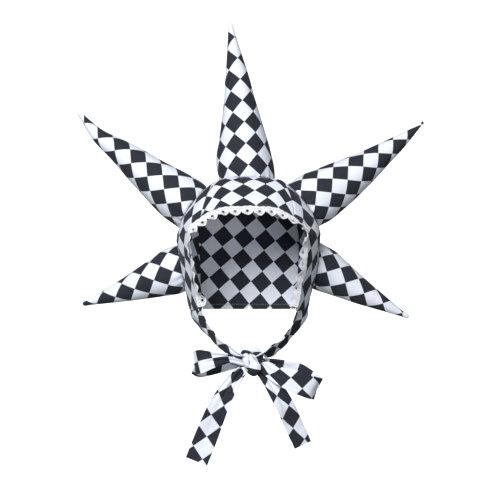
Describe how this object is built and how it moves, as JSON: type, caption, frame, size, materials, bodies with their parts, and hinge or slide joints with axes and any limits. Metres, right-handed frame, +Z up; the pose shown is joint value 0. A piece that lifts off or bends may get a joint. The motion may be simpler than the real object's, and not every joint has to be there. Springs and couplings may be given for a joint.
{
  "type": "jester bonnet",
  "caption": "Checked cloth jester bonnet with stuffed spikes round the crown, lace round the face and a tied chin bow.",
  "frame": {"origin": "inside the crown, where the top of the wearer's head sits, midway between the spikes' fronts and backs", "axes": "+Z up along the wearer, +Y towards the back of the head, +X to the wearer's left"},
  "size_m": [0.4553, 0.1771, 0.5729],
  "materials": {
    "bonnet_cloth": "matt black and white checked polyester cotton",
    "spike_cloth": "matt black and white checked polyester cotton over soft filling",
    "tie_cloth": "matt black and white checked polyester cotton, doubled and pressed",
    "lace": "white cotton lace with scallops and eyelets"
  },
  "bodies": {
    "root": {"band_centre": "bonnet_cloth", "band_left": "bonnet_cloth", "band_right": "bonnet_cloth", "crown_panel": "bonnet_cloth", "back_panel": "bonnet_cloth", "spike_top": "spike_cloth", "spike_upper_left": "spike_cloth", "spike_upper_right": "spike_cloth", "spike_lower_left": "spike_cloth", "spike_lower_right": "spike_cloth", "lace_trim": "lace", "strap_left": "tie_cloth", "strap_right": "tie_cloth", "bow_knot": "tie_cloth", "loop_left": "tie_cloth", "loop_right": "tie_cloth", "tail_left": "tie_cloth", "tail_right": "tie_cloth"}
  },
  "joints": []
}
